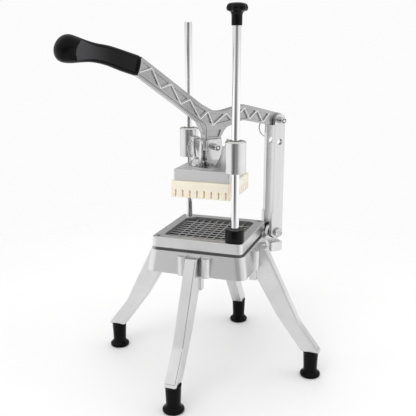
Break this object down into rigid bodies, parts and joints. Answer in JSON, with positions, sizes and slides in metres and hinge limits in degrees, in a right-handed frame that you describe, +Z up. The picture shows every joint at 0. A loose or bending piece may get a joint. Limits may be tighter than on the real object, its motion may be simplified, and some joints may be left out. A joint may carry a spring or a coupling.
{
  "type": "french fry cutter",
  "caption": "Lever-operated french fry cutter: pegged pusher block slides on guide rods over a square blade grid in a cast base on splayed legs.",
  "frame": {"origin": "centre of the overall box, on the ground under the feet", "axes": "+X towards the links, -X towards the lever's grip, +Y towards the plain guide rod, +Z up"},
  "size_m": [0.3085, 0.225, 0.4753],
  "materials": {
    "cast_metal": "cast and polished, satin",
    "plate_steel": "brushed",
    "blade_steel": "ground",
    "bright_steel": "polished",
    "link_bar": "brushed lengthwise",
    "fastener_steel": "zinc plated",
    "gloss_black": "gloss",
    "grip_black": "satin",
    "foot_black": "matt",
    "washer_nylon": "matt",
    "ivory_plastic": "satin",
    "bush_brass": "turned"
  },
  "bodies": {
    "base": {"base_casting": "cast_metal", "blade_frame": "plate_steel", "blade_long_1": "blade_steel", "blade_long_2": "blade_steel", "blade_long_3": "blade_steel", "blade_long_4": "blade_steel", "blade_long_5": "blade_steel", "blade_long_6": "blade_steel", "blade_long_7": "blade_steel", "blade_long_8": "blade_steel", "blade_cross_1": "blade_steel", "blade_cross_2": "blade_steel", "blade_cross_3": "blade_steel", "blade_cross_4": "blade_steel", "blade_cross_5": "blade_steel", "blade_cross_6": "blade_steel", "blade_cross_7": "blade_steel", "blade_cross_8": "blade_steel", "top_plate": "cast_metal", "guide_rod_near": "bright_steel", "guide_rod_far": "bright_steel", "rod_collar": "gloss_black", "rod_knob": "gloss_black", "leg_front": "cast_metal", "leg_left": "cast_metal", "leg_right": "cast_metal", "leg_back": "cast_metal", "foot_front": "foot_black", "foot_left": "foot_black", "foot_right": "foot_black", "foot_back": "foot_black", "rod_nuts": "fastener_steel", "plate_screws": "fastener_steel", "leg_bolts": "fastener_steel", "link_pin_lower": "bright_steel", "link_washers": "washer_nylon"},
    "pusher": {"pusher_block": "ivory_plastic", "pusher_holder": "cast_metal", "pusher_head": "cast_metal", "sleeve_bush_near": "bush_brass", "sleeve_bush_far": "bush_brass", "pusher_stud_grip_side": "fastener_steel", "pusher_stud_link_side": "fastener_steel", "wing_nut_grip_side": "bright_steel", "wing_nut_link_side": "bright_steel", "clevis_pin": "bright_steel"},
    "links": {"link_near": "link_bar", "link_far": "link_bar", "link_pin_upper": "bright_steel"},
    "lever": {"lever_arm": "cast_metal", "lever_grip": "grip_black"},
    "clevis_ring": {"clevis_ring": "bright_steel"},
    "link_ring": {"link_ring": "bright_steel"}
  },
  "joints": [
    {"name": "pusher_slide", "type": "slide", "parent": "base", "child": "pusher", "axis": [0, 0, 1], "range_m": [-0.0615, 0.01]},
    {"name": "link_swing", "type": "hinge", "parent": "base", "child": "links", "pos_m": [0.13875, 0, 0.176], "axis": [0, 1, 0], "range_deg": [-15, 2.45]},
    {"name": "lever_tilt", "type": "hinge", "parent": "links", "child": "lever", "pos_m": [0.13875, 0, 0.3305], "axis": [0, 1, 0], "range_deg": [-24.8, 4.05]},
    {"name": "clevis_ring_swing", "type": "hinge", "parent": "pusher", "child": "clevis_ring", "pos_m": [0.04275, 0.01625, 0.3015], "axis": [0.3746, 0, -0.9272], "range_deg": [0, 45]},
    {"name": "link_ring_swing", "type": "hinge", "parent": "links", "child": "link_ring", "pos_m": [0.13875, 0.01885, 0.3305], "axis": [1, 0, 0], "range_deg": [-4, 60]}
  ],
  "couplings": [
    {"joint": "link_swing", "follows": "pusher_slide", "rad_per_m": 4.2394},
    {"joint": "lever_tilt", "follows": "pusher_slide", "rad_per_m": 7.0215}
  ]
}
